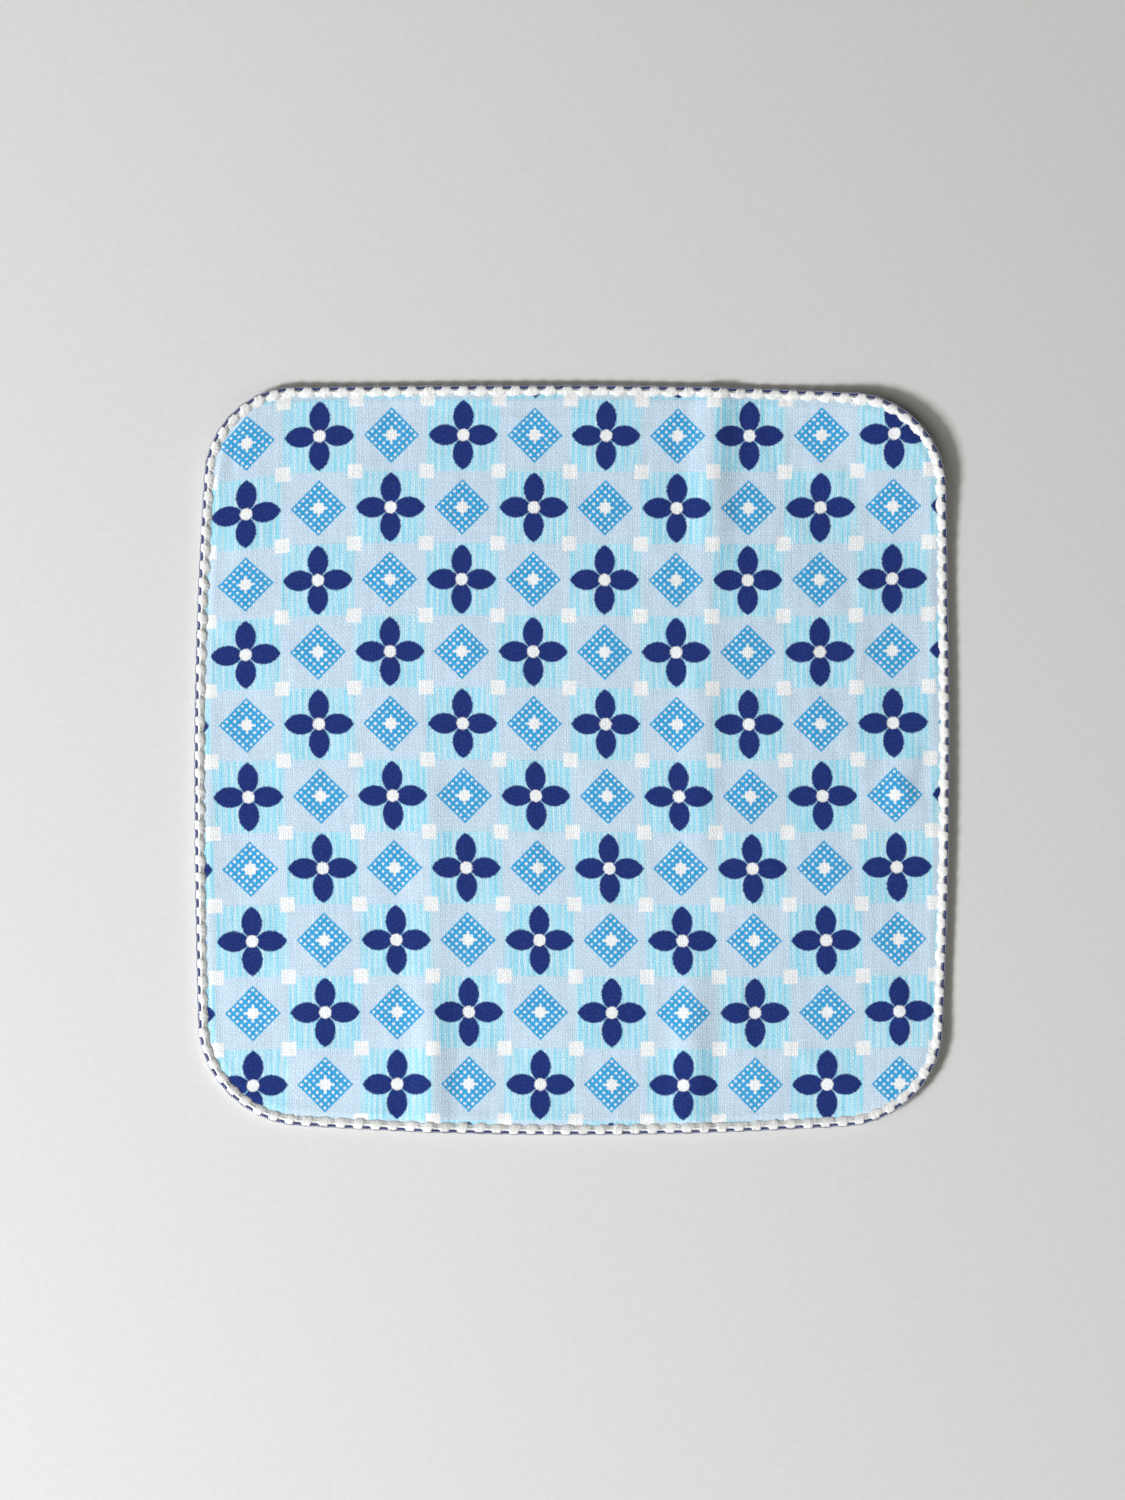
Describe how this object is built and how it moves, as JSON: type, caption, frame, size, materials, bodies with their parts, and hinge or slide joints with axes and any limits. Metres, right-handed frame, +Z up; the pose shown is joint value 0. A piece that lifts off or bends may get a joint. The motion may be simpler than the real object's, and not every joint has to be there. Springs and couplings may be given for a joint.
{
  "type": "handkerchief",
  "caption": "Square soft cotton handkerchief with round corners, a white scalloped overlocked edge and a thin navy thread, lying face up.",
  "frame": {"origin": "centre of the bounding box, on the surface that the handkerchief lies on", "axes": "+Z up out of the cloth's face, +X to the right and +Y to the far side as seen from the near side"},
  "size_m": [0.2516, 0.2498, 0.006],
  "materials": {
    "printed_gauze": "soft matt cotton gauze, printed in navy, light blue, aqua and pale grey-blue on white",
    "white_yarn": "fluffy matt white overlocking yarn",
    "navy_thread": "fine twisted navy sewing thread, slightly lustrous"
  },
  "bodies": {
    "root": {"cloth": "printed_gauze", "edging": "white_yarn", "edge_thread": "navy_thread"}
  },
  "joints": []
}
